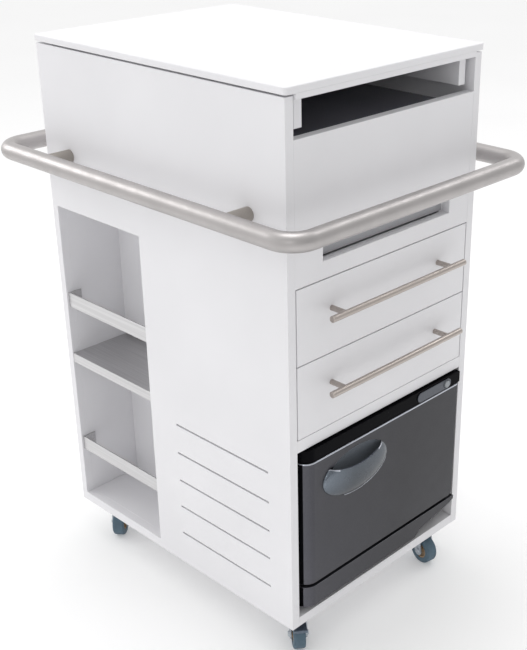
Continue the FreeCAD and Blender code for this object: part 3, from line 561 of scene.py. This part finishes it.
def warmer_front_door():
    """Door shell with a rolled outer edge and a satin finger dish, a painted highlight along its top roll
    and painted dark reflection on its left flank.
    """
    low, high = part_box("warmer_door")
    grip_low, grip_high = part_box("door_handle")
    bm = merged_copy("warmer_door")
    rim = []
    outer = []
    for edge in bm.edges:
        if len(edge.link_faces) != 2 or edge.calc_face_angle(0) < math.radians(35):
            continue
        middle = (edge.verts[0].co + edge.verts[1].co) / 2
        level = abs(edge.verts[0].co.z - edge.verts[1].co.z) < 0.1 * MM
        at_end = level and min(high[2] - middle.z, middle.z - low[2]) < 0.1 * MM
        by_hinge = middle.x > high[0] - HINGE_STRIP and middle.y > low[1] + 1 * MM
        if by_hinge or middle.y > high[1] - 1 * MM or (middle.y > low[1] + 1 * MM and not at_end):
            continue
        inside = grip_low[0] - 1 * MM < middle.x < grip_high[0] + 1 * MM and middle.z > grip_low[2]
        if inside and middle.z < high[2] - 5 * MM:
            rim.append(edge)
        else:
            outer.append(edge)
    bmesh.ops.bevel(bm, geom=outer, offset=DOOR_ROLL, offset_type="OFFSET", segments=4, profile=0.5,
                    affect="EDGES", material=-1, clamp_overlap=False)
    rim = [edge for edge in rim if edge.is_valid]
    bmesh.ops.bevel(bm, geom=rim, offset=DISH_ROLL, offset_type="OFFSET", segments=2, profile=0.5,
                    affect="EDGES", material=-1, clamp_overlap=True)
    bm.normal_update()
    for face in bm.faces:
        centre = face.calc_center_median()
        sunk = low[1] + 0.1 * MM < centre.y < low[1] + DISH_DEPTH
        if sunk and grip_low[0] < centre.x < grip_high[0] and face.normal.y < -0.05 \
                and grip_low[2] + 5 * MM < centre.z < high[2] - 6 * MM:
            face.material_index = 1
        # Painted highlight: the rolled faces under the top edge take the brighter metal.
        paint_top_highlight(face, centre, high[2], 2)
        # Painted dark reflection: faces turned to the left are gloss black.
        if face.normal.x < PAINTED_DARK_FLANK:
            face.material_index = 3
    piece = finish_piece("warmer_door_shell", bm, "graphite_metallic", ["warmer_door"])
    for look in ("dish_silver", "painted_highlight_edge", "gloss_black"):
        piece.data.materials.append(MATERIALS[look])
    return piece


def base_band():
    """Plinth under the door with eased edges, a painted highlight in lighter grey along its top edge and
    painted dark reflection on its left flank.
    """
    low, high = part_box("warmer_base_band")
    bm = merged_copy("warmer_base_band")
    bevel_sharp(bm, BAND_ROLL, 3)
    bm.normal_update()
    for face in bm.faces:
        # Painted highlight: the rolled faces under the band's top edge take the lighter grey.
        paint_top_highlight(face, face.calc_center_median(), high[2], 1)
        # Painted dark reflection: faces turned to the left are gloss black.
        if face.normal.x < PAINTED_DARK_FLANK:
            face.material_index = 2
    piece = finish_piece("warmer_band_eased", bm, "graphite_metallic", ["warmer_base_band"])
    for look in ("trim_and_highlight_grey", "gloss_black"):
        piece.data.materials.append(MATERIALS[look])
    return piece


BOARD_EDGE = 0.7 * MM
SHEET_EDGE = 0.25 * MM
EASED = {
    "left_side_panel": BOARD_EDGE, "right_side_panel": BOARD_EDGE, "back_panel": BOARD_EDGE,
    "bottom_board": BOARD_EDGE, "bay_roof_board": BOARD_EDGE, "cross_divider": BOARD_EDGE,
    "niche_back_board": BOARD_EDGE, "middle_board": BOARD_EDGE, "upper_front_panel": BOARD_EDGE,
    "well_deck": BOARD_EDGE, "top_frame": BOARD_EDGE, "work_shelf": BOARD_EDGE, "shelf_guides": BOARD_EDGE,
    "upper_drawer_front": BOARD_EDGE, "lower_drawer_front": BOARD_EDGE,
    "upper_drawer_box": BOARD_EDGE, "lower_drawer_box": BOARD_EDGE,
    "niche_shelf": SHEET_EDGE, "guard_bars": SHEET_EDGE, "guard_screws": SHEET_EDGE,
    "runner_channels": SHEET_EDGE, "top_slides": SHEET_EDGE,
    "upper_drawer_slides": SHEET_EDGE, "lower_drawer_slides": SHEET_EDGE,
    "caster_plates": SHEET_EDGE, "warmer_casing": SHEET_EDGE, "warmer_chamber": SHEET_EDGE,
    "warmer_feet": 1.0 * MM, "warmer_hinge_pins": SHEET_EDGE, "heater_element": SHEET_EDGE,
    "towel_rack": SHEET_EDGE, "power_inlet": SHEET_EDGE, "door_liner": SHEET_EDGE,
    "door_seal": SHEET_EDGE, "warmer_fascia": 2.2 * MM,
    "top_board": SHEET_EDGE,
    "upper_drawer_pull": SHEET_EDGE, "lower_drawer_pull": SHEET_EDGE, "uv_lamp": SHEET_EDGE,
    "rail_posts": SHEET_EDGE,
}
for corner in ("front_left", "front_right", "rear_left", "rear_right"):
    for part in ("fork", "hub", "tyre"):
        EASED[corner + "_" + part] = SHEET_EDGE
for node in frame["nodes"]:
    if node.endswith("_brake_pedal"):
        EASED[node] = SHEET_EDGE

for node, width in EASED.items():
    look = "post_steel" if node == "rail_posts" else None
    # Brake pedals take the darker zinc, painted shade under the cabinet.
    if node.endswith("_brake_pedal"):
        look = "pedal_shaded_zinc"
    softened(node, width, look)
push_rail()
status_plate()
rocker()
door_grip()
paint_grip_shadow_and_highlight()
warmer_front_door()
base_band()


# ---------------------------------------------------------------- stage, light and camera

DOME_FRONT = 0.55
DOME_BACK = 1.03
FLOOR_HALF = 12
FLOOR_GLOW = 0.17
SPOT_PLACE = Vector((-1.5, -1.6, 1.9))
SPOT_AIM = Vector((-0.85, -0.95, 0))
SPOT_POWER = 35
SPOT_ANGLE = math.radians(34)
# Each softbox: name, place, what it faces, width across, power in watts.
SOFTBOXES = (
    ("key_softbox", (-2.7, -2.1, 2.0), (0, 0, 0.5), 0.5, 4),
    ("right_softbox", (2.6, -0.9, 3.4), (0, 0, 0.5), 1.4, 12),
    ("back_softbox", (-1.3, 2.7, 2.3), (-0.2, 0, 0.8), 1.5, 19),
    ("overhead_softbox", (0, 0, 4.0), (0, 0, 0.5), 1.6, 28),
)


def build_floor():
    bm = bmesh.new()
    bmesh.ops.create_grid(bm, x_segments=1, y_segments=1, size=FLOOR_HALF)
    mesh = bpy.data.meshes.new("floor")
    bm.to_mesh(mesh)
    bm.free()
    look = Finish("floor_paint", (0.82, 0.82, 0.82), 0.8)
    look.shader.inputs["Emission Color"].default_value = (1, 1, 1, 1)
    look.shader.inputs["Emission Strength"].default_value = FLOOR_GLOW
    look.tint(look.noise(0.8, 2.0), 0.99, 1.01)
    mesh.materials.append(look.material)
    floor = bpy.data.objects.new("floor", mesh)
    bpy.context.scene.collection.objects.link(floor)


def area_light(name, place, aim, size, power):
    light = bpy.data.lights.new(name, "AREA")
    light.shape = "DISK"
    light.size = size
    light.energy = power
    lamp = bpy.data.objects.new(name, light)
    lamp.location = place
    lamp.rotation_euler = (Vector(aim) - Vector(place)).to_track_quat("-Z", "Y").to_euler()
    bpy.context.scene.collection.objects.link(lamp)


def floor_spot():
    """Narrow beam on the floor before the left front corner, seen again in the door's round edge."""
    light = bpy.data.lights.new("floor_spot", "SPOT")
    light.energy = SPOT_POWER
    light.spot_size = SPOT_ANGLE
    light.spot_blend = 0.8
    lamp = bpy.data.objects.new("floor_spot", light)
    lamp.location = SPOT_PLACE
    lamp.rotation_euler = (SPOT_AIM - lamp.location).to_track_quat("-Z", "Y").to_euler()
    bpy.context.scene.collection.objects.link(lamp)


def build_light():
    """Studio dome, dimmer towards the front, with four softboxes and a spot on the floor."""
    world = bpy.data.worlds.new("studio")
    world.use_nodes = True
    nodes = world.node_tree.nodes
    links = world.node_tree.links
    direction = nodes.new("ShaderNodeTexCoord")
    axes = nodes.new("ShaderNodeSeparateXYZ")
    links.new(direction.outputs["Generated"], axes.inputs["Vector"])
    dome = nodes.new("ShaderNodeMapRange")
    dome.inputs["From Min"].default_value = -1.0
    dome.inputs["From Max"].default_value = 0.25
    dome.inputs["To Min"].default_value = DOME_FRONT
    dome.inputs["To Max"].default_value = DOME_BACK
    links.new(axes.outputs["Y"], dome.inputs["Value"])
    links.new(dome.outputs["Result"], nodes["Background"].inputs["Strength"])
    nodes["Background"].inputs["Color"].default_value = (1.0, 1.0, 1.0, 1)
    bpy.context.scene.world = world
    for name, place, aim, size, power in SOFTBOXES:
        area_light(name, place, aim, size, power)
    floor_spot()


CAMERA_PLACE = Vector((-1.4214, -1.5200, 1.4758))
CAMERA_AIM = Vector((0.0392, -0.1462, 0.5704))
CAMERA_LENS = 61.94
CAMERA_SENSOR = 36.0
CAMERA_SHIFT = (-0.098, -0.007)


def build_camera():
    data = bpy.data.cameras.new("camera")
    data.lens = CAMERA_LENS
    data.sensor_width = CAMERA_SENSOR
    data.shift_x, data.shift_y = CAMERA_SHIFT
    camera = bpy.data.objects.new("camera", data)
    camera.location = CAMERA_PLACE
    camera.rotation_euler = (CAMERA_AIM - CAMERA_PLACE).to_track_quat("-Z", "Y").to_euler()
    bpy.context.scene.collection.objects.link(camera)
    bpy.context.scene.camera = camera


build_floor()
build_light()
build_camera()
bpy.context.scene.view_settings.view_transform = "Standard"
